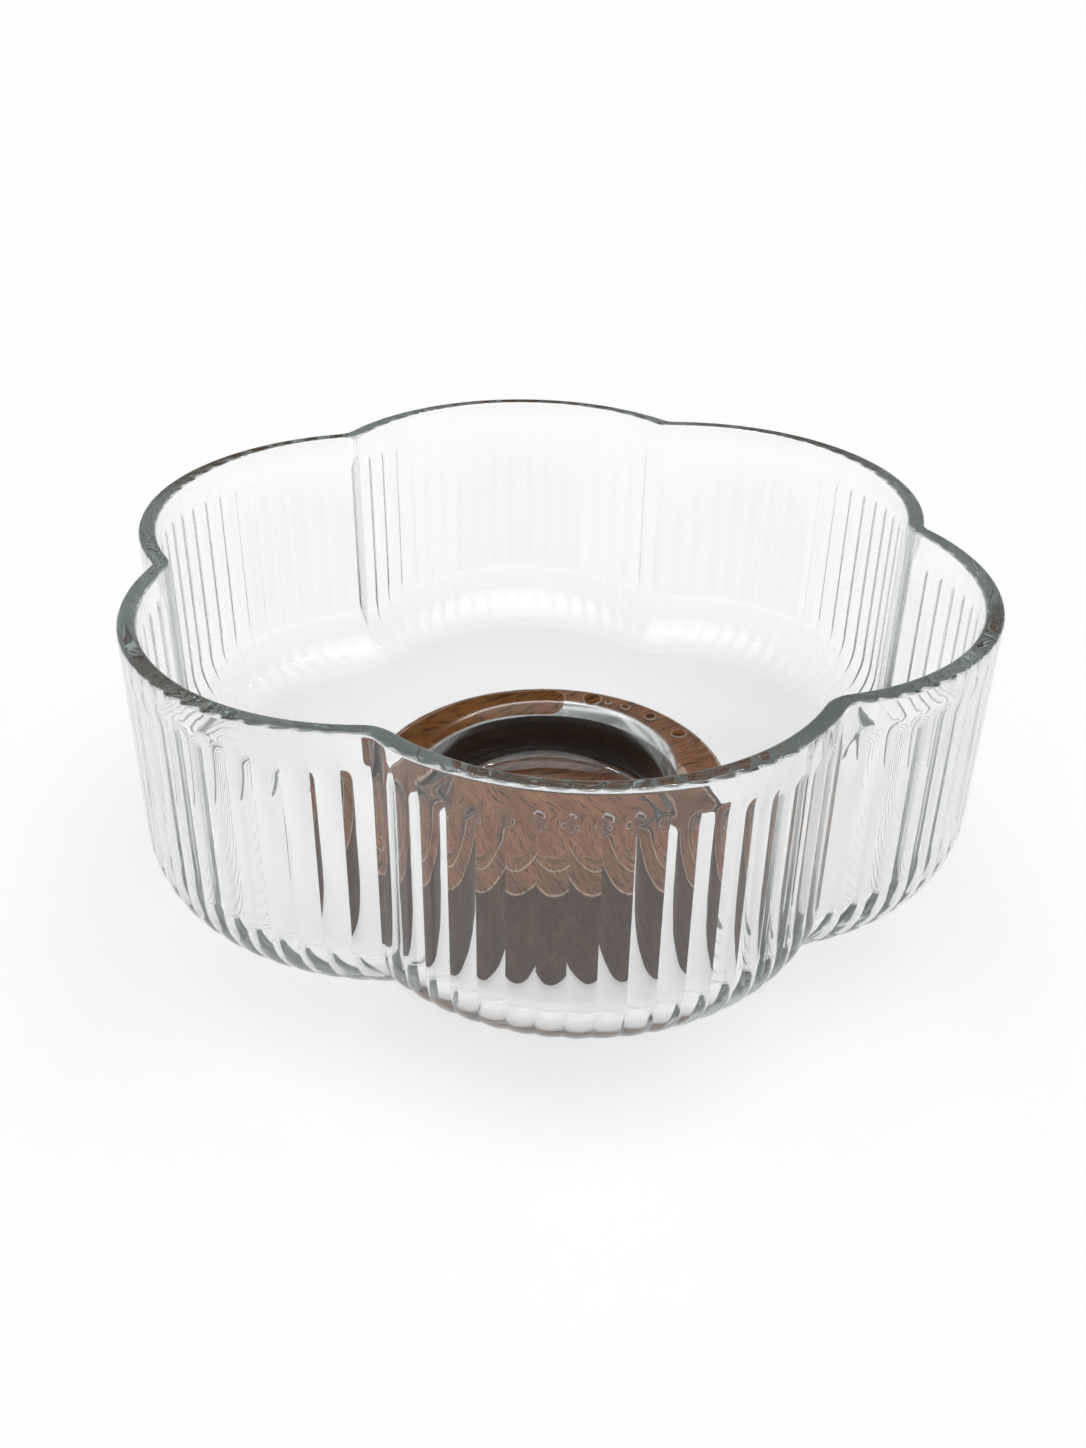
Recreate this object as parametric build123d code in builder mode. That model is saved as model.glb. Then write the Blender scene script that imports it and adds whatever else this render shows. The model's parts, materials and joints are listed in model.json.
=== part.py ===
from build123d import *
import os
from math import atan2, cos, radians, sin, sqrt

# Driving dimensions, in millimetres and degrees

# Glass bowl: a flower in plan, one arc to each petal
bowl_diameter = 200.0  # across two opposite petal tips at the rim
bowl_height = 67.0  # underside of the floor to the top of the rim
petal_count = 6
petal_offset = 46.0  # bowl axis to the centre of a petal's arc
first_petal = -90.0  # direction of the first petal tip
wall_thickness = 4.0
floor_thickness = 5.0
rim_bevel = 0.8  # on both edges of the rim
corner_radius = 18.0  # outside, from the wall to the underside
notch_radius = 4.5  # outside cove where two petals meet

# Ribs pressed into the outside of the wall
ribs_per_petal = 18
plain_band = 5.5  # smooth band under the rim before the ribs start
rib_run = 5.0  # stretch below the plain band in which the ribs reach their depth
rib_start_depth = 0.18  # half-way down that stretch
rib_depth = 0.52  # down the wall
rib_end_depth = 0.05  # at the edge of the underside

# Candle well in the bowl's floor and the boss round it
well_radius = 30.0
well_depth = 14.0
well_wall = 4.5
well_base = 4.5
well_mouth_round = 6.0
well_floor_round = 3.5
boss_edge_chamfer = 2.0

# Wooden foot
foot_base = 13.0  # wood left under the recess
foot_ring = 9.0  # flat ring on top that carries the glass
foot_edge_chamfer = 1.2
boss_clearance = 0.8  # all round the boss in the recess

# Clear adhesive between glass and wood
bond_gap = 0.4
bond_margin = 0.6  # adhesive patch to the edges of the flat ring
patch_start = 80.0
patch_sweep = 66.0
# ring drops: turn back from the patch's start and radius
ring_drops = [(15.7, 2.8), (22.1, 1.1), (29.4, 1.5), (40.7, 1.8), (56.0, 2.2)]
ring_drop_shift = 1.3  # row of drops outward from the middle of the ring
# well drops: reach as a share of the well's radius, direction and radius
well_drops = [(0.17, 103.0, 3.0), (0.26, 15.0, 1.8), (0.58, 4.6, 3.3), (0.86, 2.8, 3.0)]
drop_sides = 12

# Rubber feet under the wood
rubber_foot_count = 4
rubber_foot_radius = 4.0
rubber_foot_height = 1.5
rubber_foot_margin = 8.5  # rubber foot to the side of the wood
rubber_foot_turn = 45.0

# Steps that make up a quarter round
corner_steps = 3
well_steps = 2

# Sizes that follow from the ones above
petal_radius = bowl_diameter / 2 - petal_offset
half_petal = radians(180.0 / petal_count)
notch_reach = sqrt((petal_radius + notch_radius) ** 2 - (petal_offset * sin(half_petal)) ** 2)
notch_reach += petal_offset * cos(half_petal)  # bowl axis to the centre of a cove between two petals
petal_end = atan2(notch_reach * sin(half_petal), notch_reach * cos(half_petal) - petal_offset)
inner_corner_radius = corner_radius - floor_thickness
boss_radius = well_radius + well_wall
recess_radius = boss_radius + boss_clearance
ring_middle_radius = recess_radius + foot_ring / 2
foot_radius = recess_radius + foot_ring + foot_edge_chamfer
patch_width = foot_ring - 2 * bond_margin
ring_drop_reach = ring_middle_radius + ring_drop_shift
rubber_foot_reach = foot_radius - rubber_foot_margin - rubber_foot_radius

# Levels, from the table up
foot_bottom = rubber_foot_height
recess_bottom = foot_bottom + foot_base
boss_bottom = recess_bottom + bond_gap
well_bottom = boss_bottom + well_base
bowl_floor = well_bottom + well_depth
glass_bottom = bowl_floor - floor_thickness
foot_top = glass_bottom - bond_gap
rim_top = glass_bottom + bowl_height
ribs_top = rim_top - plain_band

standing = (Align.CENTER, Align.CENTER, Align.MIN)
hanging = (Align.CENTER, Align.CENTER, Align.MAX)


def quarter_round(radius, steps):
    """List a quarter round's points as (distance still to go along, distance gone across)."""
    turns = [radians(90.0 * step / steps) for step in range(steps + 1)]
    return [(radius * (1 - sin(turn)), radius * (1 - cos(turn))) for turn in turns]


def petal_ring(inset, depth, scale, ribs):
    """Draw the closed flower outline: petals divided into outward-bulging ribs, with a cove after each."""
    crest = petal_radius - inset
    crease = crest - depth

    def point(petal, radius, turn):
        axis = radians(first_petal) + 2 * half_petal * petal
        x = petal_offset * cos(axis) + radius * cos(axis + turn)
        y = petal_offset * sin(axis) + radius * sin(axis + turn)
        return (scale * x, scale * y)

    for petal in range(petal_count):
        creases = [point(petal, crease, petal_end * (2 * rib / ribs - 1)) for rib in range(ribs + 1)]
        for rib in range(ribs):
            top = point(petal, crest, petal_end * ((2 * rib + 1) / ribs - 1))
            ThreePointArc(creases[rib], top, creases[rib + 1])
        notch = radians(first_petal) + half_petal * (2 * petal + 1)
        depth_of_cove = scale * (notch_reach - notch_radius - inset - depth)
        middle = (depth_of_cove * cos(notch), depth_of_cove * sin(notch))
        ThreePointArc(creases[ribs], middle, point((petal + 1) % petal_count, crease, -petal_end))


def ring_at(edges, radius, level):
    """Pick the circular edge of this radius at this level."""
    circles = edges.filter_by(GeomType.CIRCLE).filter_by(lambda edge: abs(edge.radius - radius) < 1e-4)
    return circles.filter_by(lambda edge: abs(edge.center().Z - level) < 1e-4)


# Ribbed wall: the ribs start below a plain band, run down the wall, wrap round the corner and fade out
rib_rows = [(ribs_top, 0.0, 1.0), (ribs_top - rib_run / 2, rib_start_depth, 1.0)]
rib_rows.append((ribs_top - rib_run, rib_depth, 1.0))
for step, (along, across) in enumerate(quarter_round(corner_radius, corner_steps)):
    fade = (rib_depth - rib_end_depth) * (step / corner_steps) ** 2
    rib_rows.append((glass_bottom + along, rib_depth - fade, 1 - across / (bowl_diameter / 2)))

# Rim: smooth petals over the ribs, bevelled at the top
rim_rows = [(ribs_top, 0.0), (rim_top - rim_bevel, 0.0), (rim_top, rim_bevel)]

# Space inside: up from the rounded edge of the floor and out at the bevelled rim
space_rows = []
for along, across in reversed(quarter_round(inner_corner_radius, corner_steps)):
    space_rows.append((bowl_floor + along, 0.0, 1 - across / (bowl_diameter / 2 - wall_thickness)))
space_rows += [(rim_top - rim_bevel, 0.0, 1.0), (rim_top, rim_bevel, 1.0)]

# Candle well: up from the rounded edge of its floor and out at its rounded mouth
well_rows = []
for along, across in reversed(quarter_round(well_floor_round, well_steps)):
    well_rows.append((well_bottom + along, well_radius - across))
for along, across in quarter_round(well_mouth_round, well_steps):
    well_rows.append((bowl_floor - along, well_radius + across))

with BuildPart() as bowl_space:
    for level, flare, scale in space_rows:
        with BuildSketch(Plane.XY.offset(level)):
            with BuildLine():
                petal_ring(wall_thickness - flare, 0.0, scale, 1)
            make_face()
    loft(ruled=True)

# Glass bowl: ribbed wall and rim, hollowed, with the boss below its floor and the candle well in the boss
with BuildPart() as glass_bowl:
    for level, depth, scale in rib_rows:
        with BuildSketch(Plane.XY.offset(level)):
            with BuildLine():
                petal_ring(0.0, depth, scale, ribs_per_petal)
            make_face()
    loft(ruled=True)
    for level, inset in rim_rows:
        with BuildSketch(Plane.XY.offset(level)):
            with BuildLine():
                petal_ring(inset, 0.0, 1.0, 1)
            make_face()
    loft(ruled=True)
    add(bowl_space.part, mode=Mode.SUBTRACT)
    with Locations((0, 0, boss_bottom)):
        Cylinder(boss_radius, bowl_floor - boss_bottom, align=standing)
    chamfer(ring_at(edges(), boss_radius, boss_bottom), boss_edge_chamfer)
    for level, radius in well_rows:
        with BuildSketch(Plane.XY.offset(level)):
            Circle(radius)
    loft(ruled=True, mode=Mode.SUBTRACT)
glass_bowl.part.label = "glass_bowl"

# Wooden foot: turned drum with a recess for the boss
with BuildPart() as wooden_foot:
    with Locations((0, 0, foot_bottom)):
        Cylinder(foot_radius, foot_top - foot_bottom, align=standing)
    chamfer(edges(), foot_edge_chamfer)
    with Locations((0, 0, foot_top)):
        Cylinder(recess_radius, foot_top - recess_bottom, align=hanging, mode=Mode.SUBTRACT)
wooden_foot.part.label = "wooden_foot"

# Clear adhesive on the ring: a long patch at the back left and drops along the back right
with BuildPart() as bond_patch:
    with BuildSketch(Plane.XY.offset(foot_top)):
        middle = CenterArc((0, 0), ring_middle_radius, patch_start, patch_sweep, mode=Mode.PRIVATE)
        SlotArc(middle, patch_width)
    extrude(amount=bond_gap)
bond_patch.part.label = "bond_patch"

with BuildPart() as bond_drops:
    with BuildSketch(Plane.XY.offset(foot_top)):
        for turn, radius in ring_drops:
            with PolarLocations(ring_drop_reach, 1, start_angle=patch_start - turn):
                RegularPolygon(radius, drop_sides)
    extrude(amount=bond_gap)
bond_drops.part.label = "bond_drops"

# Clear adhesive under the boss: a row of drops on the floor of the recess
with BuildPart() as well_bond_drops:
    with BuildSketch(Plane.XY.offset(recess_bottom)):
        for share, turn, radius in well_drops:
            with PolarLocations(share * well_radius, 1, start_angle=turn):
                RegularPolygon(radius, drop_sides)
    extrude(amount=bond_gap)
well_bond_drops.part.label = "well_bond_drops"

# Rubber feet under the wood
with BuildPart() as rubber_feet:
    with BuildSketch(Plane.XY):
        with PolarLocations(rubber_foot_reach, rubber_foot_count, start_angle=rubber_foot_turn):
            Circle(rubber_foot_radius)
    extrude(amount=rubber_foot_height)
rubber_feet.part.label = "rubber_feet"

os.makedirs("parts", exist_ok=True)
for piece in (glass_bowl, wooden_foot, bond_patch, bond_drops, well_bond_drops, rubber_feet):
    export_step(piece.part, f"parts/{piece.part.label}.step")
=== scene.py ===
import json
from math import atan2, cos, pi, radians, sin, sqrt

import bpy
from bpy.props import FloatProperty, FloatVectorProperty, IntProperty, PointerProperty
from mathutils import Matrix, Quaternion, Vector


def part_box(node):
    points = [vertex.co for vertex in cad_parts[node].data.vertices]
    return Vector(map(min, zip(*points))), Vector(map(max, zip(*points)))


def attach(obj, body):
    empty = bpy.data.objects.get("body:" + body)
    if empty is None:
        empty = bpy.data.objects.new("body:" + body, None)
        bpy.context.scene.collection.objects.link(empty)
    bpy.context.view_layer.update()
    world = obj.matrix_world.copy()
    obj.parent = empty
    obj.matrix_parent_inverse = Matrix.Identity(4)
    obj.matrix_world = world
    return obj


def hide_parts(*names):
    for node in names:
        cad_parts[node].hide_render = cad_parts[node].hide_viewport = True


bl_info = {
    "name": "Ribbed glass candle bowl",
    "version": (1, 0, 0),
    "blender": (4, 5, 0),
    "location": "View3D > Sidebar > Candle bowl",
    "description": "Builds a flower-shaped pressed glass candle bowl on its turned wooden foot",
    "category": "Object",
}

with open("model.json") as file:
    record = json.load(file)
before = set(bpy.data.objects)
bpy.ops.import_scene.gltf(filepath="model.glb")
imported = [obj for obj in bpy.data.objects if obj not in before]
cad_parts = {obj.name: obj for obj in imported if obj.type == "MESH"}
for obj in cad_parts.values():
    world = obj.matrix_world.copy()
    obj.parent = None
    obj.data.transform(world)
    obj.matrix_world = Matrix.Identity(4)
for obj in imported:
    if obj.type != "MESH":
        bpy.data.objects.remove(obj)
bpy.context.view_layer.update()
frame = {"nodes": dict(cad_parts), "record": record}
glass_low, glass_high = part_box("glass_bowl")
wood_low, wood_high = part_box("wooden_foot")
glue_low, glue_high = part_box("bond_patch")
pads_low, pads_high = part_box("rubber_feet")
candle_well = next(mount for mount in frame["record"]["mounts"] if mount["name"] == "candle_well")

MM = 0.001
well_radius = candle_well["dims"]["r_mm"] * MM

# How finely the meshes are divided: steps in a rounding or run, and columns round a turned piece
EDGE_STEPS = 6
CORNER_STEPS = 18
INNER_CORNER_STEPS = 16
MOUTH_STEPS = 14
WELL_FOOT_STEPS = 10
RECESS_EDGE_STEPS = 4
PAD_EDGE_STEPS = 5
RIB_RUN_STEPS = 8
BEAD_STEPS = 8
CAP_STEPS = 16
PATCH_STEPS = 60
FOOT_COLUMNS = 192
PAD_COLUMNS = 48
DROP_SIDES = 48

# Where extra mesh rings lie, as shares of the disc, ring or wall that they divide
DISC_SHARES = (0.5, 0.9)
UNDERSIDE_SHARES = (0.72, 0.78)
WALL_SHARES = (0.33, 0.67, 1.0)
INNER_WALL_SHARES = (0.25, 0.5, 0.75)
FLOOR_SHARES = (0.84, 0.76)
FOOT_SHARES = (0.3, 0.8)
PAD_SHARE = 0.5

# Rings that keep the flat glass flat beside the boss and the well's mouth
BOSS_SPREAD = 0.3 * MM
MOUTH_SPREADS = (8 * MM, 2 * MM)

# Waves round the outline of the glue
DROP_WAVES = 2
OUTER_WAVES = 9
INNER_WAVES = 7
INNER_WAVE_START = 1

# Faces that meet at more than this are left sharp
CREASE = radians(32)

# Bounces that light needs to get through the ribbed glass
GLASS_BOUNCES = 48
MIRROR_BOUNCES = 40

WHITE = (1, 1, 1, 1)


def length(name, description, default):
    """A property that holds a size in metres."""
    return FloatProperty(name=name, description=description, default=default, unit="LENGTH", precision=5)


def place(name, description, default):
    """A property that holds a place in metres."""
    return FloatVectorProperty(name=name, description=description, default=default, unit="LENGTH")


def angle(name, description, degrees):
    """A property that holds an angle, given here in degrees."""
    return FloatProperty(name=name, description=description, default=radians(degrees), unit="ROTATION")


def amount(name, description, default):
    """A property that holds a plain number."""
    return FloatProperty(name=name, description=description, default=default, min=0)


def count(name, description, default):
    """A property that holds a whole number."""
    return IntProperty(name=name, description=description, default=default, min=1)


def colour(name, description, default):
    """A property that holds a colour."""
    return FloatVectorProperty(
        name=name, description=description, default=default, subtype="COLOR", min=0, max=1
    )


class GlassSettings(bpy.types.PropertyGroup):
    """Sizes and tint of the pressed glass bowl."""

    petals: count("Petals", "Petals round the bowl", 6)
    ribs: count("Ribs per petal", "Ribs pressed into each petal", 18)
    rib_columns: count("Columns per rib", "Mesh columns across one rib", 12)
    first_petal: angle("First petal", "Direction of the first petal tip", -90)
    petal_offset: length("Petal offset", "Bowl axis to the centre of a petal's arc", 46 * MM)
    wall: length("Wall", "Thickness of the wall", 4 * MM)
    floor: length("Floor", "Thickness of the floor", 5 * MM)
    rim_round: length("Rim rounding", "Rounding of both edges of the rim", 1.0 * MM)
    plain_band: length("Plain band", "Smooth band under the rim before the ribs start", 5.0 * MM)
    rib_run: length("Rib run", "Stretch in which the ribs reach their depth", 5.0 * MM)
    rib_depth: length("Rib depth", "Depth of the creases down the wall", 0.48 * MM)
    rib_fade: amount("Rib fade", "Share of their depth that the ribs lose round the corner", 0.95)
    rib_hold: amount("Rib hold", "How late round the corner the ribs lose it", 1.3)
    ghost_depth: length("Ghost depth", "Faint ripple of the ribs on the inside of the corner", 0.16 * MM)
    corner: length("Corner", "Outside radius from the wall to the underside", 18 * MM)
    notch: length("Notch", "Rounding of the outside cove between two petals", 4.5 * MM)
    well_mouth: length("Well mouth", "Rounding of the candle well's mouth", 6 * MM)
    well_foot: length("Well foot", "Rounding at the candle well's floor", 3.5 * MM)
    boss_wall: length("Boss wall", "Glass round the candle well", 4.5 * MM)
    boss_edge: length("Boss edge", "Rounding of the boss's lower edge", 2 * MM)
    lip_reach: length("Lip reach", "Wall of the well to the middle of its soft lip", 2.7 * MM)
    lip_full: length("Lip full", "Half width of the lip where it is fully soft", 1.5 * MM)
    lip_end: length("Lip end", "Half width of the lip where its softness ends", 3.3 * MM)
    lip_blend: length("Lip blend", "Half of the stretch from the lip's soft back to its clear front", 6 * MM)
    lip_roughness: amount("Lip roughness", "Roughness of the soft lip", 0.2)
    tint: colour("Tint", "Colour that long paths through the glass take", (0.76, 0.81, 0.805))


class WoodSettings(bpy.types.PropertyGroup):
    """Sizes and colours of the turned foot."""

    recess_gap: length("Recess gap", "Clearance round the boss in the recess", 0.8 * MM)
    recess_base: length("Recess base", "Wood left under the recess", 13 * MM)
    recess_edge: length("Recess edge", "Rounding of the recess's edge", 0.4 * MM)
    edge: length("Edge", "Rounding of the turned edges", 1.2 * MM)
    # Painted highlight: a pale line round the recess's edge and pale wood on the upper part of the rounded
    # top edge stand for light catching these edges
    painted_highlight_line: length("Highlit line", "Width of the pale line round the recess", 0.6 * MM)
    painted_highlight_from: angle("Highlit from", "Where on the rounded top edge the worn wood starts", 45)
    grain_turn: angle("Grain turn", "Direction of the grain in plan", 24)
    light: colour("Light wood", "Between the dark streaks", (0.41, 0.175, 0.075))
    dark: colour("Dark wood", "Dark streaks of the grain", (0.17, 0.066, 0.028))
    pore: colour("Pores", "Short open pores along the grain", (0.03, 0.011, 0.005))
    # Painted shade: the turned sides are a darker copy of the top's timber, standing for the dimmer light
    # under the bowl
    shaded_side_light: colour("Light side", "Between the streaks on the turned sides", (0.175, 0.075, 0.036))
    shaded_side_dark: colour("Dark side", "Dark streaks on the turned sides", (0.045, 0.018, 0.008))
    shade: colour("Shaded wood", "Wood in the shade of the recess", (0.018, 0.006, 0.002))
    # Painted shade and light: the recess's floor is darkened at the back and brightened in front
    back_painted_shade: amount("Back gain", "Brightness of the recess's floor at the back", 0.7)
    front_painted_light: amount("Front gain", "Brightness of the recess's floor in front", 1.6)
    # Painted highlight: pale wood and streaks along the rounded edges
    painted_highlight_light: colour("Highlit edge", "Pale wood along the worn edges", (0.66, 0.52, 0.42))
    painted_highlight_streak: colour("Highlit streak", "Streaks along the worn edges", (0.40, 0.27, 0.18))


class GlueSettings(bpy.types.PropertyGroup):
    """Sizes and colours of the clear adhesive."""

    press: length("Press", "How far the glue reaches into the glass's underside", 0.02 * MM)
    bead: length("Bead", "Width of the glue's rounded edge", 0.35 * MM)
    well_bead: length("Well bead", "Width of the rounded edge of the drops under the well", 0.6 * MM)
    squeeze: length("Squeeze", "How far the patch is squeezed in towards the boss", 1.2 * MM)
    drop_waver: amount("Drop waver", "Unevenness of a drop as a share of its radius", 0.05)
    outer_waver: amount("Outer waver", "Unevenness of the patch's outside, in half widths", 0.05)
    inner_waver: amount("Inner waver", "Unevenness of the patch's inside, in half widths", 0.03)
    light: colour("Wet light wood", "Light wood seen through the glue", (0.39, 0.16, 0.04))
    dark: colour("Wet dark wood", "Dark wood seen through the glue", (0.11, 0.039, 0.012))
    # Painted highlight: the glue's rounded edges are pale to stand for light glinting off them
    edge: colour("Glue edge", "Bright edge of the glue", (0.62, 0.52, 0.45))
    well_painted_glint: colour("Well edge", "Bright edge of the drops under the well", (0.86, 0.80, 0.75))


class PadSettings(bpy.types.PropertyGroup):
    """Sizes and colours of the rubber feet."""

    edge: length("Pad edge", "Rounding of the lower edge", 0.5 * MM)
    light: colour("Light rubber", "Raised specks of the rubber", (0.07, 0.066, 0.06))
    dark: colour("Dark rubber", "Between the specks", (0.028, 0.026, 0.024))


class StageSettings(bpy.types.PropertyGroup):
    """Camera, lamps and floor."""

    view_turn: angle("View turn", "Camera turn to the left of the front", 8.7)
    view_tilt: angle("View tilt", "Camera angle above the horizon", 31.75)
    view_roll: angle("View roll", "Camera roll", 0.97)
    view_distance: length("View distance", "Camera to the point it aims at", 0.34215)
    view_aim: place("View aim", "Point the camera aims at", (-0.0021, -0.0045, 0.05))
    view_near: length("View near", "Nearest distance that the camera shows", 0.01)
    lens: amount("Lens", "Focal length in millimetres on a 36 mm sensor", 35.22)
    sky: amount("Sky", "Level of the studio's soft light", 0.5)
    room_front: amount("Room front", "Mirrored level of the studio in front", 0.3)
    room_back: amount("Room back", "Mirrored level of the studio at the back", 0.08)
    floor: colour("Floor", "Colour of the floor", (0.65, 0.65, 0.65))
    floor_reach: length("Floor reach", "Middle of the floor to its edges", 6.0)
    floor_glow: amount("Floor glow", "White added to the floor as seen", 0.42)
    # Painted light: a brighter pool painted into the floor's glow under the back of the bowl
    painted_light_pool: amount("Floor pool", "More of it where the bowl gathers light", 0.23)
    painted_pool_middle: place("Pool middle", "Middle of the brighter pool", (0, 0.045, 0))
    painted_pool_full: length("Pool full", "Radius within which the pool is fully bright", 0.03)
    painted_pool_end: length("Pool end", "Radius at which the pool ends", 0.11)
    mirror_loss: amount("Mirror loss", "Share of the floor's glow that a mirrored floor loses", 0.3)
    key: amount("Key light", "Strength of the soft overhead light", 1.2)
    key_spread: angle("Key spread", "Width of the soft overhead light", 60)
    key_place: place("Key place", "Where the soft overhead light hangs", (0.08, -0.25, 1.6))
    strip: amount("Strip lamp", "Power of the lamp that glints in the glass", 8.5)
    strip_length: length("Strip length", "Length of the strip lamp", 1.1)
    strip_width: length("Strip width", "Width of the strip lamp", 0.05)
    strip_place: place("Strip place", "Where the strip lamp hangs", (0.12, 0.62, 1.35))
    lamp_aim: place("Lamp aim", "Point that both lamps face", (0, 0, 0.05))


class BowlSettings(bpy.types.PropertyGroup):
    """Everything that the candle bowl's operators read."""

    glass: PointerProperty(type=GlassSettings)
    wood: PointerProperty(type=WoodSettings)
    glue: PointerProperty(type=GlueSettings)
    pads: PointerProperty(type=PadSettings)
    stage: PointerProperty(type=StageSettings)


def rgba(value):
    """A colour property as a socket value."""
    return (*value, 1)


def add_node(tree, kind, inputs=None, **settings):
    """Add a node, set its options, and link or set its inputs."""
    node = tree.nodes.new(kind)
    for key, value in settings.items():
        setattr(node, key, value)
    for socket, value in (inputs or {}).items():
        target = node.inputs[socket]
        if isinstance(value, bpy.types.NodeSocket):
            tree.links.new(value, target)
        else:
            target.default_value = value
    return node


def math_node(tree, operation, first, second=0.0):
    """Add a Math node and give its result."""
    return add_node(tree, "ShaderNodeMath", {0: first, 1: second}, operation=operation).outputs["Value"]


def map_range(tree, value, low, high, to_low=0.0, to_high=1.0, blend="LINEAR"):
    """Add a Map Range node and give its result."""
    sockets = {"Value": value, "From Min": low, "From Max": high, "To Min": to_low, "To Max": to_high}
    return add_node(tree, "ShaderNodeMapRange", sockets, interpolation_type=blend).outputs["Result"]


def mix_colour(tree, share, first, second, blend="MIX"):
    """Add a colour Mix node and give its result."""
    share_socket, first_socket, second_socket, result_socket = 0, 6, 7, 2
    sockets = {share_socket: share, first_socket: first, second_socket: second}
    node = add_node(tree, "ShaderNodeMix", sockets, data_type="RGBA", blend_type=blend)
    return node.outputs[result_socket]


def own_place(tree):
    """Place on the object, in its own coordinates."""
    return add_node(tree, "ShaderNodeTexCoord").outputs["Object"]


def towards_back(tree, vector):
    """How far a place or direction lies towards the back."""
    return add_node(tree, "ShaderNodeSeparateXYZ", {0: vector}).outputs["Y"]


def new_material(name):
    """Start a material with only its output and a Principled shader."""
    material = bpy.data.materials.new(name)
    material.use_nodes = True
    tree = material.node_tree
    tree.nodes.clear()
    output = tree.nodes.new("ShaderNodeOutputMaterial")
    shader = tree.nodes.new("ShaderNodeBsdfPrincipled")
    tree.links.new(shader.outputs["BSDF"], output.inputs["Surface"])
    return material, tree, shader, output


def new_group(name, inputs, outputs):
    """Start a shader node group with named sockets."""
    group = bpy.data.node_groups.new(name, "ShaderNodeTree")
    for socket, kind, default in inputs:
        made = group.interface.new_socket(socket, in_out="INPUT", socket_type=kind)
        made.default_value = default
    for socket, kind in outputs:
        group.interface.new_socket(socket, in_out="OUTPUT", socket_type=kind)
    return group, group.nodes.new("NodeGroupInput"), group.nodes.new("NodeGroupOutput")


def timber_group(turn):
    """Grain across the plan, in the object's own coordinates: streaks, growth bands and open pores."""
    found = bpy.data.node_groups.get("Timber grain")
    if found:
        return found
    group, given, result = new_group(
        "Timber grain",
        [
            ("Light", "NodeSocketColor", (0.26, 0.135, 0.075, 1)),
            ("Dark", "NodeSocketColor", (0.085, 0.036, 0.017, 1)),
            ("Pore", "NodeSocketColor", (0.022, 0.010, 0.006, 1)),
        ],
        [("Color", "NodeSocketColor"), ("Height", "NodeSocketFloat"), ("Roughness", "NodeSocketFloat")],
    )
    bend = (0.004, 0.010, 0.010)
    streak_scale, band_scale, pore_scale = (18, 260, 260), (6, 70, 70), (150, 1500, 1500)
    streak_share, band_share, pore_share = 0.6, 0.5, 0.75
    tone_limits, pore_limits, rough_limits = (0.36, 0.74), (0.53, 0.62), (0.62, 0.45)
    turned = add_node(group, "ShaderNodeMapping", {"Vector": own_place(group), "Rotation": (0, 0, -turn)})
    straight = turned.outputs["Vector"]
    drift = add_node(group, "ShaderNodeTexNoise", {"Vector": straight, "Scale": 28.0, "Detail": 2.0})
    sockets = {0: drift.outputs["Color"], 1: bend, 2: straight}
    bent = add_node(group, "ShaderNodeVectorMath", sockets, operation="MULTIPLY_ADD").outputs["Vector"]

    def drawn_out(scale, detail, roughness=0.5):
        """Noise drawn out along the bent grain."""
        drawn = add_node(group, "ShaderNodeMapping", {"Vector": bent, "Scale": scale}).outputs["Vector"]
        sockets = {"Vector": drawn, "Scale": 1.0, "Detail": detail, "Roughness": roughness}
        return add_node(group, "ShaderNodeTexNoise", sockets).outputs["Fac"]

    streaks = math_node(group, "MULTIPLY", drawn_out(streak_scale, detail=5.0, roughness=0.6), streak_share)
    bands = math_node(group, "MULTIPLY", drawn_out(band_scale, detail=3.0), band_share)
    tone = map_range(group, math_node(group, "ADD", streaks, bands), *tone_limits)
    pores = map_range(group, drawn_out(pore_scale, detail=2.0), *pore_limits)
    wood = mix_colour(group, tone, given.outputs["Dark"], given.outputs["Light"])
    wood = mix_colour(group, math_node(group, "MULTIPLY", pores, pore_share), wood, given.outputs["Pore"])
    group.links.new(wood, result.inputs["Color"])
    group.links.new(math_node(group, "SUBTRACT", tone, pores), result.inputs["Height"])
    group.links.new(map_range(group, tone, 0.0, 1.0, *rough_limits), result.inputs["Roughness"])
    return group


def uneven_group():
    """Uneven skin: soft waves of one size with fine specks of another."""
    found = bpy.data.node_groups.get("Uneven skin")
    if found:
        return found
    group, given, result = new_group(
        "Uneven skin",
        [("Wave scale", "NodeSocketFloat", 60.0), ("Speck scale", "NodeSocketFloat", 900.0)],
        [("Height", "NodeSocketFloat"), ("Speck", "NodeSocketFloat")],
    )
    spot = own_place(group)
    for size, detail, socket in (("Wave scale", 1.0, "Height"), ("Speck scale", 3.0, "Speck")):
        sockets = {"Vector": spot, "Scale": given.outputs[size], "Detail": detail}
        noise = add_node(group, "ShaderNodeTexNoise", sockets)
        group.links.new(noise.outputs["Fac"], result.inputs[socket])
    return group


def add_uneven(tree, wave, speck):
    """Place the uneven skin in a material with its own scales."""
    sockets = {"Wave scale": wave, "Speck scale": speck}
    return add_node(tree, "ShaderNodeGroup", sockets, node_tree=uneven_group())


def add_grain(tree, turn, light, dark, pore):
    """Place the timber grain in a material with its own colours."""
    sockets = {"Light": rgba(light), "Dark": rgba(dark), "Pore": rgba(pore)}
    return add_node(tree, "ShaderNodeGroup", sockets, node_tree=timber_group(turn))


def add_bump(tree, height, strength, distance):
    """Add a Bump node and give its normal."""
    sockets = {"Height": height, "Strength": strength, "Distance": distance}
    return add_node(tree, "ShaderNodeBump", sockets).outputs["Normal"]


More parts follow.
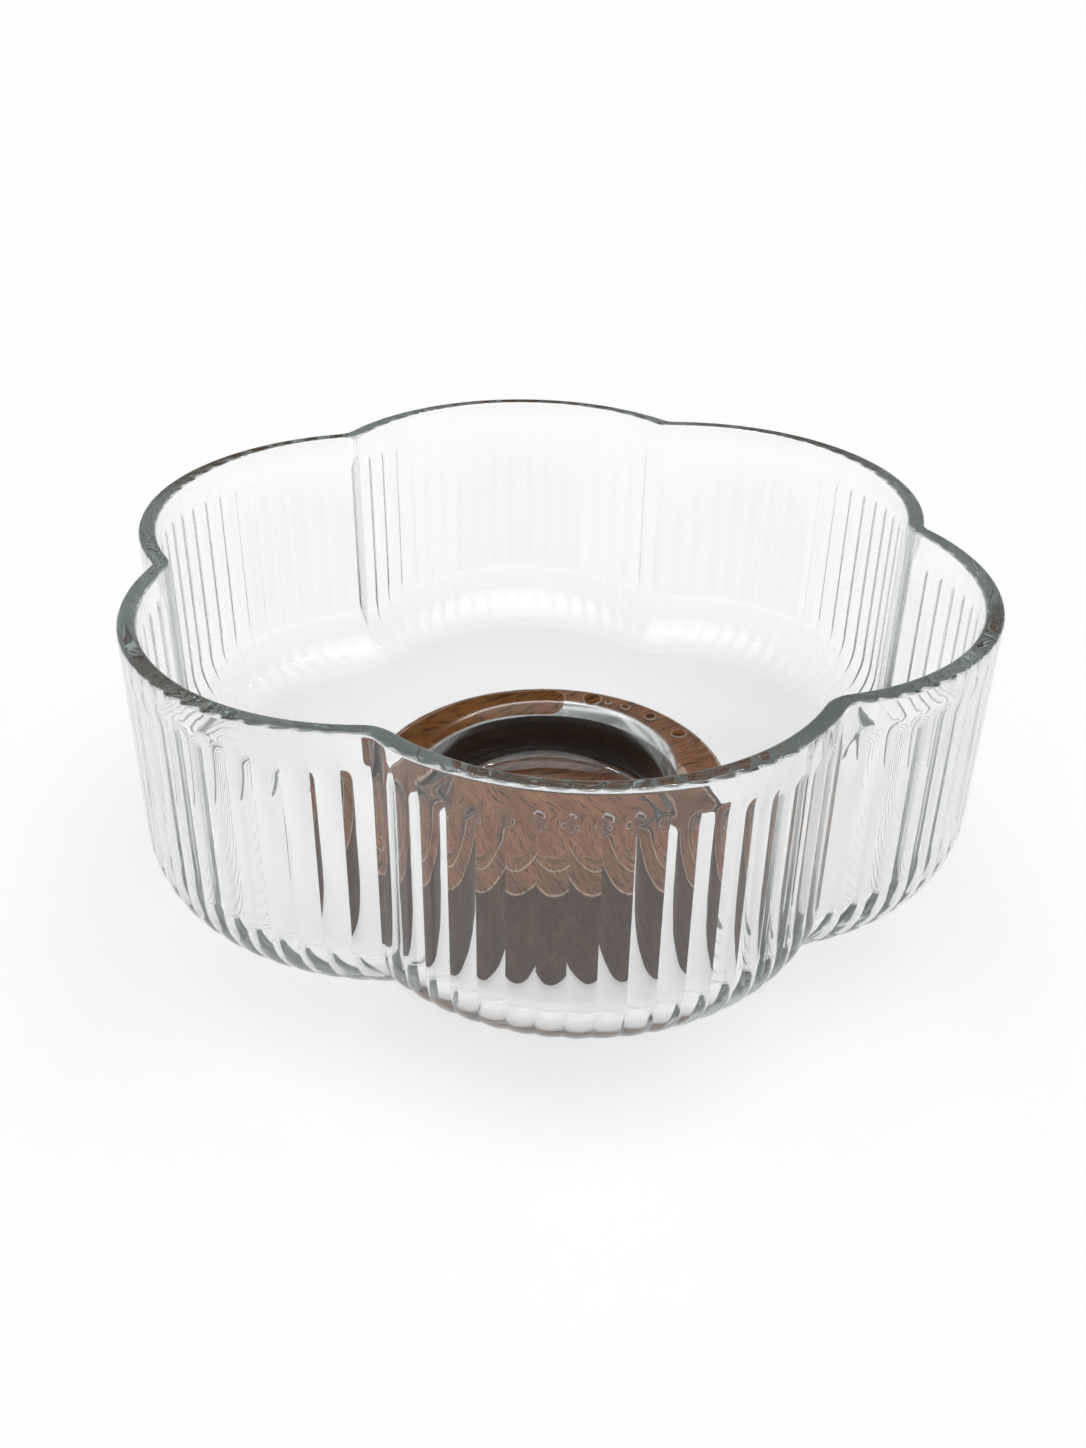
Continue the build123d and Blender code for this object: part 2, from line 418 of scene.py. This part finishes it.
def glass_material(settings):
    """Clear pressed glass with a grey-green depth, a slightly wavy skin and a soft lip at the well's back."""
    material, tree, shader, output = new_material("clear_pressed_glass")
    skin_node = add_uneven(tree, wave=90.0, speck=700.0)
    speck_limits, speck_roughness = (0.72, 0.82), 0.05
    speck = map_range(tree, skin_node.outputs["Speck"], *speck_limits, 0.0, speck_roughness)
    spot = own_place(tree)
    flat = add_node(tree, "ShaderNodeVectorMath", {0: spot, 1: (1, 1, 0)}, operation="MULTIPLY")
    reach = add_node(tree, "ShaderNodeVectorMath", {0: flat.outputs["Vector"]}, operation="LENGTH")
    middle = well_radius + settings.lip_reach
    away = math_node(tree, "ABSOLUTE", math_node(tree, "SUBTRACT", reach.outputs["Value"], middle))
    lip_limits, blend = (settings.lip_end, settings.lip_full), settings.lip_blend
    lip = map_range(tree, away, *lip_limits, 0.0, settings.lip_roughness, "SMOOTHSTEP")
    behind = map_range(tree, towards_back(tree, spot), -blend, blend, blend="SMOOTHSTEP")
    rough = math_node(tree, "ADD", speck, math_node(tree, "MULTIPLY", lip, behind))
    shader.inputs["Base Color"].default_value = WHITE
    shader.inputs["IOR"].default_value = 1.5
    shader.inputs["Transmission Weight"].default_value = 1.0
    tree.links.new(rough, shader.inputs["Roughness"])
    bump = add_bump(tree, skin_node.outputs["Height"], strength=0.5, distance=0.1 * MM)
    tree.links.new(bump, shader.inputs["Normal"])
    depth = add_node(tree, "ShaderNodeVolumeAbsorption", {"Color": rgba(settings.tint), "Density": 11.0})
    tree.links.new(depth.outputs["Volume"], output.inputs["Volume"])
    return material


def wood_material(settings, name, light, dark, pore, gains=None):
    """Oiled timber with open pores, with painted shade towards the back and painted light towards the front
    of the foot where gains are given.
    """
    material, tree, shader, _ = new_material(name)
    grain = add_grain(tree, settings.grain_turn, light, dark, pore)
    shade = grain.outputs["Color"]
    # Painted shade at the back and painted light in front, multiplied into the grain
    if gains:
        back_line, front_line = 0.5 * wood_high.y, -0.1 * wood_high.y
        gain = map_range(tree, towards_back(tree, own_place(tree)), back_line, front_line, *gains)
        shade = mix_colour(tree, 1.0, shade, gain, "MULTIPLY")
    tree.links.new(shade, shader.inputs["Base Color"])
    tree.links.new(grain.outputs["Roughness"], shader.inputs["Roughness"])
    bump = add_bump(tree, grain.outputs["Height"], strength=0.6, distance=0.12 * MM)
    tree.links.new(bump, shader.inputs["Normal"])
    shader.inputs["Specular IOR Level"].default_value = 0.15
    return material


def glue_material(settings, wood):
    """Clear glue film: the timber under it, wetted dark."""
    material, tree, shader, _ = new_material("glue_wetted_timber")
    grain = add_grain(tree, wood.grain_turn, settings.light, settings.dark, wood.pore)
    tree.links.new(grain.outputs["Color"], shader.inputs["Base Color"])
    shader.inputs["Roughness"].default_value = 0.35
    shader.inputs["Specular IOR Level"].default_value = 0.0
    return material


def glue_glint_material(name, edge):
    """Painted highlight on the glue's rounded edge: a pale colour standing for glints off the meniscus, with
    darker specks.
    """
    material, tree, shader, _ = new_material(name)
    skin_node = add_uneven(tree, wave=60.0, speck=1500.0)
    speck_gain = 0.6
    speck = rgba([speck_gain * part for part in edge])
    shade = mix_colour(tree, skin_node.outputs["Speck"], speck, rgba(edge))
    tree.links.new(shade, shader.inputs["Base Color"])
    shader.inputs["Roughness"].default_value = 0.2
    return material


def rubber_material(settings):
    """Matte dark rubber with a fine grain."""
    material, tree, shader, _ = new_material("matte_dark_rubber")
    skin_node = add_uneven(tree, wave=300.0, speck=2500.0)
    shade = mix_colour(tree, skin_node.outputs["Speck"], rgba(settings.dark), rgba(settings.light))
    tree.links.new(shade, shader.inputs["Base Color"])
    bump = add_bump(tree, skin_node.outputs["Speck"], strength=0.5, distance=0.1 * MM)
    tree.links.new(bump, shader.inputs["Normal"])
    shader.inputs["Roughness"].default_value = 0.75
    return material


def quarter_turns(steps):
    """Angles of a quarter round, from 0 to 90 degrees."""
    return [pi / 2 * step / steps for step in range(steps + 1)]


def full_turns(steps):
    """Angles of a full round, without the last one."""
    return [2 * pi * step / steps for step in range(steps)]


def circle_ring(radius, level, angles):
    """A level circle of points at these angles."""
    return [(radius * cos(turn), radius * sin(turn), level) for turn in angles]


def skin(rings):
    """Join equal rings of points into one closed mesh: vertices and faces, with a fan at both ends."""
    size = len(rings[0])
    points = [point for ring in rings for point in ring]
    faces = []
    for row in range(len(rings) - 1):
        for column in range(size):
            after = (column + 1) % size
            low, high = row * size, (row + 1) * size
            faces.append((low + column, low + after, high + after, high + column))
    for ring, start, turn in ((rings[0], 0, -1), (rings[-1], (len(rings) - 1) * size, 1)):
        centre = Vector((0, 0, 0))
        for point in ring:
            centre += Vector(point)
        points.append(tuple(centre / size))
        for column in range(size):
            pair = (start + column, start + (column + 1) % size)
            faces.append((*pair[::turn], len(points) - 1))
    return points, faces


def join(points, faces, more_points, more_faces):
    """Add a second closed mesh to the points and faces of the first."""
    start = len(points)
    points += more_points
    faces += [tuple(start + index for index in face) for face in more_faces]


def add_piece(name, points, faces, materials):
    """Make a smooth piece of the object, sharp where its faces meet at more than the crease angle."""
    mesh = bpy.data.meshes.new(name)
    mesh.from_pydata(points, [], faces)
    mesh.polygons.foreach_set("use_smooth", [True] * len(mesh.polygons))
    mesh.set_sharp_from_angle(angle=CREASE)
    for material in materials:
        mesh.materials.append(material)
    mesh.validate()
    piece = bpy.data.objects.new(name, mesh)
    bpy.context.scene.collection.objects.link(piece)
    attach(piece, "root")
    return piece


class Flower:
    """Plan of the bowl: an arc to each petal and a cove between two, divided alike in every ring."""

    def __init__(self, settings):
        self.settings = settings
        self.half = pi / settings.petals
        self.offset = settings.petal_offset
        self.radius = glass_high.y - settings.petal_offset
        span = self.radius + settings.notch
        self.reach = self.offset * cos(self.half) + sqrt(span**2 - (self.offset * sin(self.half)) ** 2)
        self.end = atan2(self.reach * sin(self.half), self.reach * cos(self.half) - self.offset)
        petal_arc, cove_arc = self.end * self.radius, (self.end - self.half) * settings.notch
        self.arc_share = petal_arc / (petal_arc + cove_arc)
        shares = []
        for rib in range(settings.ribs):
            for column in range(settings.rib_columns):
                beside = sin(pi * (column / settings.rib_columns - 0.5))
                shares.append((2 * rib + 1 + beside) / settings.ribs - 1)
        axes = [settings.first_petal + 2 * self.half * petal for petal in range(settings.petals)]
        self.places = [(axis, share) for axis in axes for share in shares]
        self.angles = [axis + self.half * share for axis, share in self.places]

    def relief(self, share):
        """Share of the ribs' depth at a place in a petal: a shallow arch from crease to crease."""
        return (2 * ((share + 1) / 2 * self.settings.ribs % 1.0) - 1) ** 2

    def ring(self, level, inset=0.0, depth=0.0, lean=0.0, scale=1.0):
        """Ring inset from the plan; ribs cut square to a surface that leans in by this angle."""
        ring = []
        for axis, share in self.places:
            relief = depth * self.relief(share)
            away = inset + relief * cos(lean)
            part = abs(share)
            if part <= self.arc_share:
                turn = self.end * part / self.arc_share
                along = self.offset + (self.radius - away) * cos(turn)
                across = (self.radius - away) * sin(turn)
            else:
                turn = self.end - (self.end - self.half) * (part - self.arc_share) / (1 - self.arc_share)
                along = self.reach * cos(self.half) - (self.settings.notch + away) * cos(turn)
                across = self.reach * sin(self.half) - (self.settings.notch + away) * sin(turn)
            if share < 0:
                across = -across
            x = along * cos(axis) - across * sin(axis)
            y = along * sin(axis) + across * cos(axis)
            ring.append((scale * x, scale * y, level + relief * sin(lean)))
        return ring


class CANDLEBOWL_OT_pressed_glass(bpy.types.Operator):
    """Build the ribbed glass bowl with its candle well"""

    bl_idname = "candle_bowl.pressed_glass"
    bl_label = "Pressed glass"

    def execute(self, context):
        s = context.scene.candle_bowl.glass
        flower = Flower(s)
        tip = glass_high.y
        rim_top, boss_bottom, underside = glass_high.z, glass_low.z, glue_high.z
        floor = underside + s.floor
        well_half = candle_well["dims"]["length_mm"] * MM / 2
        well_top, well_low = candle_well["pos_m"][2] + well_half, candle_well["pos_m"][2] - well_half
        boss = well_radius + s.boss_wall
        inner_corner = s.corner - s.floor
        wall_foot, wall_top = underside + s.corner, rim_top - s.rim_round
        ribs_top = rim_top - s.plain_band
        rings = []

        def circle(radius, level):
            rings.append(circle_ring(radius, level, flower.angles))

        def petals(level, **shape):
            rings.append(flower.ring(level, **shape))

        # Boss, from the middle of its underside
        for share in DISC_SHARES:
            circle(share * (boss - s.boss_edge), boss_bottom)
        for turn in quarter_turns(EDGE_STEPS):
            circle(boss - s.boss_edge * (1 - sin(turn)), boss_bottom + s.boss_edge * (1 - cos(turn)))
        circle(boss, (boss_bottom + underside) / 2)
        circle(boss, underside)

        # Underside of the floor, and the corner where the ribs come up
        circle(boss + BOSS_SPREAD, underside)
        for share in UNDERSIDE_SHARES:
            petals(underside, scale=share)
        for turn in reversed(quarter_turns(CORNER_STEPS)):
            across = s.corner * (1 - cos(turn))
            fade = s.rib_fade * (turn / (pi / 2)) ** s.rib_hold
            level = underside + s.corner * (1 - sin(turn))
            petals(level, depth=s.rib_depth * (1 - fade), lean=turn, scale=1 - across / tip)

        # Ribbed wall, and the run in which the ribs end below the plain band
        for share in WALL_SHARES:
            petals(wall_foot + (ribs_top - s.rib_run - wall_foot) * share, depth=s.rib_depth)
        for step in range(1, RIB_RUN_STEPS + 1):
            share = step / RIB_RUN_STEPS
            depth = s.rib_depth * (1 + cos(pi * share)) / 2
            petals(ribs_top - s.rib_run * (1 - share), depth=depth)

        # Rim, rounded on both edges
        for turn in quarter_turns(EDGE_STEPS):
            petals(rim_top - s.rim_round * (1 - sin(turn)), inset=s.rim_round * (1 - cos(turn)))
        for turn in reversed(quarter_turns(EDGE_STEPS)):
            petals(rim_top - s.rim_round * (1 - sin(turn)), inset=s.wall - s.rim_round * (1 - cos(turn)))

        # Inside of the wall, and the inner corner with a ghost of the ribs
        for share in INNER_WALL_SHARES:
            petals(wall_top - (wall_top - floor - inner_corner) * share, inset=s.wall)
        for turn in quarter_turns(INNER_CORNER_STEPS):
            across = inner_corner * (1 - cos(turn))
            level = floor + inner_corner * (1 - sin(turn))
            ghost = s.ghost_depth * sin(2 * turn)
            petals(level, inset=s.wall, depth=ghost, lean=turn, scale=1 - across / (tip - s.wall))

        # Floor, then the candle well down to the middle of its own floor
        for share in FLOOR_SHARES:
            petals(floor, inset=s.wall, scale=share)
        for spread in MOUTH_SPREADS:
            circle(well_radius + s.well_mouth + spread, floor)
        for turn in reversed(quarter_turns(MOUTH_STEPS)):
            circle(well_radius + s.well_mouth * (1 - cos(turn)), well_top + (floor - well_top) * sin(turn))
        for turn in quarter_turns(WELL_FOOT_STEPS):
            circle(well_radius - s.well_foot * (1 - cos(turn)), well_low - s.well_foot * sin(turn))
        for share in reversed(DISC_SHARES):
            circle(share * (well_radius - s.well_foot), well_low - s.well_foot)

        points, faces = skin(rings)
        bowl = add_piece("pressed_glass_bowl", points, faces, [glass_material(s)])
        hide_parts("glass_bowl")
        return {"FINISHED"}


class CANDLEBOWL_OT_turned_foot(bpy.types.Operator):
    """Turn the wooden foot with its recess"""

    bl_idname = "candle_bowl.turned_foot"
    bl_label = "Turned foot"

    def execute(self, context):
        s = context.scene.candle_bowl.wood
        radius, bottom, top = wood_high.x, wood_low.z, wood_high.z
        recess = well_radius + context.scene.candle_bowl.glass.boss_wall + s.recess_gap
        recess_bottom = bottom + s.recess_base
        angles = full_turns(FOOT_COLUMNS)
        finishes = [
            wood_material(s, "oiled_brown_timber", s.light, s.dark, s.pore),
            # Painted shade on the turned sides
            wood_material(s, "side_timber_painted_shade", s.shaded_side_light, s.shaded_side_dark, s.pore),
            # Painted highlight on the rounded edges
            wood_material(s, "painted_highlight_timber", s.painted_highlight_light, s.painted_highlight_streak, s.dark),
            wood_material(s, "shaded_timber", s.shade, s.pore, s.pore),
            # Recess floor with painted shade at the back and painted light in front
            wood_material(s, "recess_timber_painted_shade", s.light, s.dark, s.pore, (s.back_painted_shade, s.front_painted_light)),
        ]
        plain, side, highlit, shaded, graded = range(len(finishes))

        # Each row: radius, level, and the finish from there to the next row
        rows = [(share * radius, bottom, plain) for share in FOOT_SHARES]
        for turn in quarter_turns(EDGE_STEPS):
            rows.append((radius - s.edge * (1 - sin(turn)), bottom + s.edge * (1 - cos(turn)), side))
        for turn in quarter_turns(EDGE_STEPS):
            # Painted highlight from this turn up the rounded top edge
            finish = highlit if turn > s.painted_highlight_from else side
            rows.append((radius - s.edge * (1 - cos(turn)), top - s.edge * (1 - sin(turn)), finish))
        rows[-1] = (*rows[-1][:2], plain)
        # Painted highlight: a pale line round the recess, and its rounded edge
        rows.append((recess + s.recess_edge + s.painted_highlight_line, top, highlit))
        for turn in quarter_turns(RECESS_EDGE_STEPS):
            reach, level = recess + s.recess_edge * (1 - sin(turn)), top - s.recess_edge * (1 - cos(turn))
            rows.append((reach, level, highlit))
        rows[-1] = (*rows[-1][:2], shaded)
        # Recess floor, with painted shade at the back and painted light in front
        rows.append((recess, recess_bottom, graded))
        rows += [(share * recess, recess_bottom, graded) for share in reversed(FOOT_SHARES)]

        points, faces = skin([circle_ring(reach, level, angles) for reach, level, _ in rows])
        foot = add_piece("turned_wooden_foot", points, faces, finishes)
        marks = [finish for _, _, finish in rows[:-1] for _ in angles]
        marks += [plain] * FOOT_COLUMNS + [graded] * FOOT_COLUMNS
        foot.data.polygons.foreach_set("material_index", marks)
        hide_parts("wooden_foot")
        return {"FINISHED"}


def glue_spot(outline, low, high, bead):
    """A flat glue spot with a rounded edge inside this outline: points, faces and which faces are edge."""
    film, rounded = 0, 1
    size = len(outline)
    outs = []
    for index in range(size):
        before, after = Vector(outline[index - 1]), Vector(outline[(index + 1) % size])
        outs.append(Vector((after.y - before.y, before.x - after.x)).normalized())
    points, faces, marks = [], [], []
    middle, half = (low + high) / 2, (high - low) / 2
    for step in range(BEAD_STEPS + 1):
        turn = pi * step / BEAD_STEPS - pi / 2
        for point, out in zip(outline, outs):
            edge = Vector(point) - out * bead * (1 - cos(turn))
            points.append((edge.x, edge.y, middle + half * sin(turn)))
    for step in range(BEAD_STEPS):
        for index in range(size):
            after = (index + 1) % size
            row, over = step * size, (step + 1) * size
            faces.append((row + index, row + after, over + after, over + index))
            marks.append(rounded)
    faces += [tuple(reversed(range(size))), tuple(range(BEAD_STEPS * size, (BEAD_STEPS + 1) * size))]
    return points, faces, marks + [film, film]


def round_end(turn, middle, half):
    """Round end of the glue patch at this turn: outside in, or inside out where half is negative."""
    points = []
    for step in range(1, CAP_STEPS):
        bow = pi * step / CAP_STEPS
        out, along = middle + half * cos(bow), half * sin(bow)
        points.append((out * cos(turn) - along * sin(turn), out * sin(turn) + along * cos(turn)))
    return points


def patch_outline(settings):
    """Outline of the glue patch: part of a ring with round ends, squeezed in towards the boss."""
    corners = [vertex.co for vertex in frame["nodes"]["bond_patch"].data.vertices]
    outer = max(corner.xy.length for corner in corners)
    inner = min(corner.xy.length for corner in corners) - settings.squeeze
    middle, half = (outer + inner) / 2, (outer - inner) / 2
    cap = half / middle
    turns = [atan2(corner.y, corner.x) for corner in corners]
    first, last = min(turns) + cap, max(turns) - cap
    outside, inside = [], []
    for step in range(PATCH_STEPS + 1):
        turn = first + (last - first) * step / PATCH_STEPS
        radius = outer - settings.outer_waver * half * (1 + sin(OUTER_WAVES * turn))
        outside.append((radius * cos(turn), radius * sin(turn)))
        radius = inner + settings.inner_waver * half * (1 + sin(INNER_WAVES * turn + INNER_WAVE_START))
        inside.append((radius * cos(turn), radius * sin(turn)))
    return outside + round_end(last, middle, half) + inside[::-1] + round_end(first, middle, -half)


def node_islands(name):
    """Centre and radius of each separate solid of a CAD node, seen from above."""
    mesh = frame["nodes"][name].data
    group = list(range(len(mesh.vertices)))
    same_place_digits = 7

    def root(index):
        while group[index] != index:
            group[index] = group[group[index]]
            index = group[index]
        return index

    places = {}
    for vertex in mesh.vertices:
        key = tuple(round(part, same_place_digits) for part in vertex.co)
        first = places.setdefault(key, vertex.index)
        group[root(vertex.index)] = root(first)
    for edge in mesh.edges:
        group[root(edge.vertices[0])] = root(edge.vertices[1])
    islands = {}
    for vertex in mesh.vertices:
        islands.setdefault(root(vertex.index), []).append(vertex.co)
    found = []
    for points in islands.values():
        low = [min(point[axis] for point in points) for axis in range(2)]
        high = [max(point[axis] for point in points) for axis in range(2)]
        found.append(((low[0] + high[0]) / 2, (low[1] + high[1]) / 2, (high[0] - low[0]) / 2))
    return sorted(found)


class CANDLEBOWL_OT_glue(bpy.types.Operator):
    """Lay the clear glue between the glass and the foot"""

    bl_idname = "candle_bowl.glue"
    bl_label = "Glue"

    def execute(self, context):
        settings = context.scene.candle_bowl
        s = settings.glue
        # The glue's rounded edges take a painted highlight
        film, edge = glue_material(s, settings.wood), glue_glint_material("glue_painted_glint", s.edge)
        well_painted_glint = glue_glint_material("well_glue_painted_glint", s.well_painted_glint)
        groups = [("bond_drops", "glue_drops", s.bead, edge)]
        groups.append(("well_bond_drops", "well_glue_drops", s.well_bead, well_painted_glint))
        for node, label, bead, finish in groups:
            low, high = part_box(node)
            points, faces, marks = [], [], []
            for number, (x, y, radius) in enumerate(node_islands(node)):
                outline = []
                for turn in full_turns(DROP_SIDES):
                    uneven = radius * (1 - s.drop_waver * (1 + sin(DROP_WAVES * turn + number)) / 2)
                    outline.append((x + uneven * cos(turn), y + uneven * sin(turn)))
                drop_points, drop_faces, drop_marks = glue_spot(outline, low.z, high.z + s.press, bead)
                join(points, faces, drop_points, drop_faces)
                marks += drop_marks
            drops = add_piece(label, points, faces, [film, finish])
            drops.data.polygons.foreach_set("material_index", marks)
            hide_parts(node)

        points, faces, marks = glue_spot(patch_outline(s), glue_low.z, glue_high.z + s.press, s.bead)
        patch = add_piece("glue_patch", points, faces, [film, edge])
        patch.data.polygons.foreach_set("material_index", marks)
        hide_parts("bond_patch")
        return {"FINISHED"}


class CANDLEBOWL_OT_rubber_pads(bpy.types.Operator):
    """Put the rubber feet under the wood"""

    bl_idname = "candle_bowl.rubber_pads"
    bl_label = "Rubber feet"

    def execute(self, context):
        s = context.scene.candle_bowl.pads
        bottom, top = pads_low.z, pads_high.z
        angles = full_turns(PAD_COLUMNS)
        points, faces = [], []
        for x, y, radius in node_islands("rubber_feet"):
            rows = [(PAD_SHARE * radius, bottom)]
            for turn in quarter_turns(PAD_EDGE_STEPS):
                rows.append((radius - s.edge * (1 - sin(turn)), bottom + s.edge * (1 - cos(turn))))
            rows += [(radius, top), (PAD_SHARE * radius, top)]
            rings = []
            for reach, level in rows:
                rings.append([(x + px, y + py, pz) for px, py, pz in circle_ring(reach, level, angles)])
            join(points, faces, *skin(rings))
        pads = add_piece("rubber_pads", points, faces, [rubber_material(s)])
        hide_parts("rubber_feet")
        return {"FINISHED"}


class CANDLEBOWL_OT_studio(bpy.types.Operator):
    """Set up the floor, soft light and camera"""

    bl_idname = "candle_bowl.studio"
    bl_label = "Studio"

    def execute(self, context):
        scene = context.scene
        s = scene.candle_bowl.stage
        scene.view_settings.view_transform = "Standard"
        scene.cycles.max_bounces = GLASS_BOUNCES
        scene.cycles.transmission_bounces = GLASS_BOUNCES
        scene.cycles.glossy_bounces = MIRROR_BOUNCES
        self.light_room(scene, s)
        self.lay_floor(scene, s)
        self.hang_lamps(s)
        self.stand_camera(scene, s)
        return {"FINISHED"}

    def seen(self, tree):
        """Two masks: what the camera sees, also by way of the glass, and what a surface mirrors."""
        one_bounce = 0.5
        path = tree.nodes.new("ShaderNodeLightPath")
        both = math_node(tree, "MAXIMUM", path.outputs["Is Camera Ray"], path.outputs["Is Glossy Ray"])
        clear = math_node(tree, "MAXIMUM", both, path.outputs["Is Transmission Ray"])
        undimmed = math_node(tree, "LESS_THAN", path.outputs["Diffuse Depth"], one_bounce)
        mirrored = math_node(tree, "GREATER_THAN", path.outputs["Glossy Depth"], one_bounce)
        return math_node(tree, "MULTIPLY", clear, undimmed), mirrored

    def light_room(self, scene, s):
        """Soft light all round; the room is white as seen and dark where the glass mirrors it."""
        world = bpy.data.worlds.new("soft_studio")
        scene.world = world
        world.use_nodes = True
        tree = world.node_tree
        tree.nodes.clear()
        seen, mirrored = self.seen(tree)
        front_line, back_line, plain_white = -0.8, 0.1, 1.0
        facing = towards_back(tree, add_node(tree, "ShaderNodeTexCoord").outputs["Generated"])
        room = map_range(tree, facing, front_line, back_line, s.room_front, s.room_back, "SMOOTHSTEP")
        light, white, wall = (
            add_node(tree, "ShaderNodeBackground", {"Color": WHITE, "Strength": level}).outputs["Background"]
            for level in (s.sky, plain_white, room)
        )
        view = add_node(tree, "ShaderNodeMixShader", {0: mirrored, 1: white, 2: wall}).outputs["Shader"]
        mix = add_node(tree, "ShaderNodeMixShader", {0: seen, 1: light, 2: view}).outputs["Shader"]
        output = tree.nodes.new("ShaderNodeOutputWorld")
        tree.links.new(mix, output.inputs["Surface"])

    def lay_floor(self, scene, s):
        """Pale matte floor that glows as seen, with a pool of painted light under the back of the bowl."""
        material = bpy.data.materials.new("studio_floor")
        material.use_nodes = True
        tree = material.node_tree
        tree.nodes.clear()
        seen, mirrored = self.seen(tree)
        direct = math_node(tree, "SUBTRACT", 1.0, math_node(tree, "MULTIPLY", mirrored, s.mirror_loss))
        # Painted light: the glow rises in a pool round its middle
        sockets = {0: own_place(tree), 1: s.painted_pool_middle}
        away = add_node(tree, "ShaderNodeVectorMath", sockets, operation="DISTANCE").outputs["Value"]
        bright = s.floor_glow + s.painted_light_pool
        pool = map_range(tree, away, s.painted_pool_end, s.painted_pool_full, s.floor_glow, bright, "SMOOTHSTEP")
        strength = math_node(tree, "MULTIPLY", math_node(tree, "MULTIPLY", seen, direct), pool)
        matte = add_node(tree, "ShaderNodeBsdfDiffuse", {"Color": rgba(s.floor)})
        glow = add_node(tree, "ShaderNodeEmission", {"Color": WHITE, "Strength": strength})
        both = add_node(tree, "ShaderNodeAddShader", {0: matte.outputs["BSDF"], 1: glow.outputs["Emission"]})
        output = tree.nodes.new("ShaderNodeOutputMaterial")
        tree.links.new(both.outputs["Shader"], output.inputs["Surface"])

        reach = s.floor_reach
        mesh = bpy.data.meshes.new("studio_floor")
        corners = [(-reach, -reach, 0), (reach, -reach, 0), (reach, reach, 0), (-reach, reach, 0)]
        mesh.from_pydata(corners, [], [(0, 1, 2, 3)])
        mesh.materials.append(material)
        floor = bpy.data.objects.new("studio_floor", mesh)
        scene.collection.objects.link(floor)

    def hang_lamps(self, s):
        """A wide soft light overhead, and a strip lamp that only glints in the glass."""
        key = bpy.data.lights.new("overhead_softbox", "SUN")
        key.energy = s.key
        key.angle = s.key_spread
        self.hang(key, s.key_place, s.lamp_aim)
        strip = bpy.data.lights.new("glint_strip", "AREA")
        strip.energy = s.strip
        strip.shape = "RECTANGLE"
        strip.size = s.strip_length
        strip.size_y = s.strip_width
        lamp = self.hang(strip, s.strip_place, s.lamp_aim)
        lamp.visible_diffuse = False
        lamp.visible_transmission = False

    def hang(self, light, spot, aim):
        """Hang a lamp here, facing this point."""
        lamp = bpy.data.objects.new(light.name, light)
        lamp.location = spot
        lamp.rotation_mode = "QUATERNION"
        lamp.rotation_quaternion = (Vector(aim) - Vector(spot)).to_track_quat("-Z", "Y")
        bpy.context.scene.collection.objects.link(lamp)
        return lamp

    def stand_camera(self, scene, s):
        """Stand the camera where the photograph was taken from."""
        camera = bpy.data.objects.new("photo_camera", bpy.data.cameras.new("photo_camera"))
        scene.collection.objects.link(camera)
        camera.data.lens = s.lens
        camera.data.clip_start = s.view_near
        level_share = cos(s.view_tilt)
        back = Vector((-sin(s.view_turn) * level_share, -cos(s.view_turn) * level_share, sin(s.view_tilt)))
        camera.location = Vector(s.view_aim) + back * s.view_distance
        camera.rotation_mode = "QUATERNION"
        upright = (-back).to_track_quat("-Z", "Y")
        camera.rotation_quaternion = upright @ Quaternion((0, 0, 1), s.view_roll)
        scene.camera = camera


OPERATORS = (
    CANDLEBOWL_OT_pressed_glass,
    CANDLEBOWL_OT_turned_foot,
    CANDLEBOWL_OT_glue,
    CANDLEBOWL_OT_rubber_pads,
    CANDLEBOWL_OT_studio,
)


class CANDLEBOWL_PT_sidebar(bpy.types.Panel):
    """Lists the candle bowl's pieces and their sizes"""

    bl_idname = "CANDLEBOWL_PT_sidebar"
    bl_label = "Candle bowl"
    bl_space_type = "VIEW_3D"
    bl_region_type = "UI"
    bl_category = "Candle bowl"

    def draw(self, context):
        for operator in OPERATORS:
            self.layout.operator(operator.bl_idname)
        settings = context.scene.candle_bowl
        for group in (settings.glass, settings.wood, settings.glue, settings.pads, settings.stage):
            box = self.layout.box()
            for name in group.__annotations__:
                box.prop(group, name)


CLASSES = (
    GlassSettings,
    WoodSettings,
    GlueSettings,
    PadSettings,
    StageSettings,
    BowlSettings,
    *OPERATORS,
    CANDLEBOWL_PT_sidebar,
)


def register():
    for made in CLASSES:
        bpy.utils.register_class(made)
    bpy.types.Scene.candle_bowl = PointerProperty(type=BowlSettings)


def unregister():
    del bpy.types.Scene.candle_bowl
    for made in reversed(CLASSES):
        bpy.utils.unregister_class(made)


def main():
    register()
    bpy.ops.candle_bowl.pressed_glass()
    bpy.ops.candle_bowl.turned_foot()
    bpy.ops.candle_bowl.glue()
    bpy.ops.candle_bowl.rubber_pads()
    bpy.ops.candle_bowl.studio()


if __name__ == "__main__":
    main()
